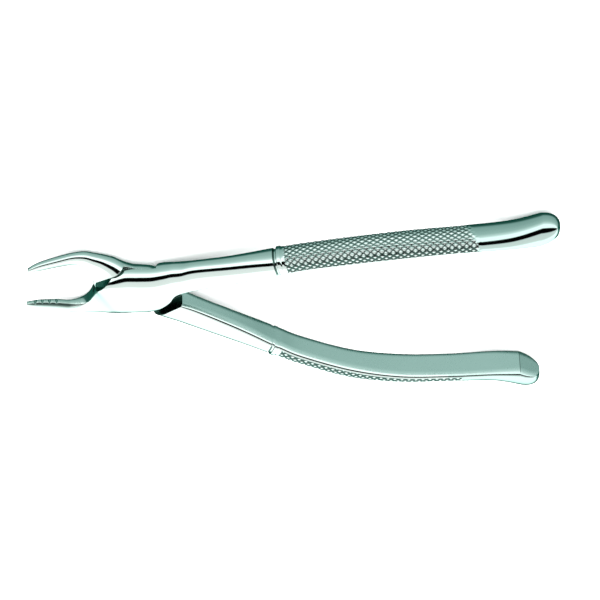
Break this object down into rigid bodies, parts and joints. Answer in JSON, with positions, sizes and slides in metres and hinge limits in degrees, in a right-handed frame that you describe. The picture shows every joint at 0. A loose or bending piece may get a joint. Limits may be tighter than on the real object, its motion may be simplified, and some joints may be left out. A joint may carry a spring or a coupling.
{
  "type": "extraction forceps",
  "caption": "Dental extraction forceps of the upper universal pattern, with serrated beaks, a lap joint turning on a flush screw, and long knurled handles.",
  "frame": {"origin": "on the joint's axis, at the joint's lower flat face, which the forceps lie on together with the ends of the two handles", "axes": "+X from the joint to the beak tips, along the line halfway between the two halves; +Z along the joint's axis, from the lower face to the upper; +Y to the side of the threaded half's beak and the plain half's handle"},
  "size_m": [0.1749, 0.0766, 0.0167],
  "materials": {
    "plain_half_steel": "mirror-polished stainless steel, satin on the handle's flat inner face",
    "threaded_half_steel": "mirror-polished stainless steel, satin on the handle's flat inner face",
    "screw_steel": "stainless steel, ground flush with the joint"
  },
  "bodies": {
    "plain": {"plain_half": "plain_half_steel"},
    "threaded": {"threaded_half": "threaded_half_steel", "pivot_screw": "screw_steel"}
  },
  "joints": [
    {"name": "forceps_pivot", "type": "hinge", "parent": "plain", "child": "threaded", "pos_m": [0, 0, 0], "axis": [0, 0, 1], "range_deg": [-15, 30]}
  ]
}
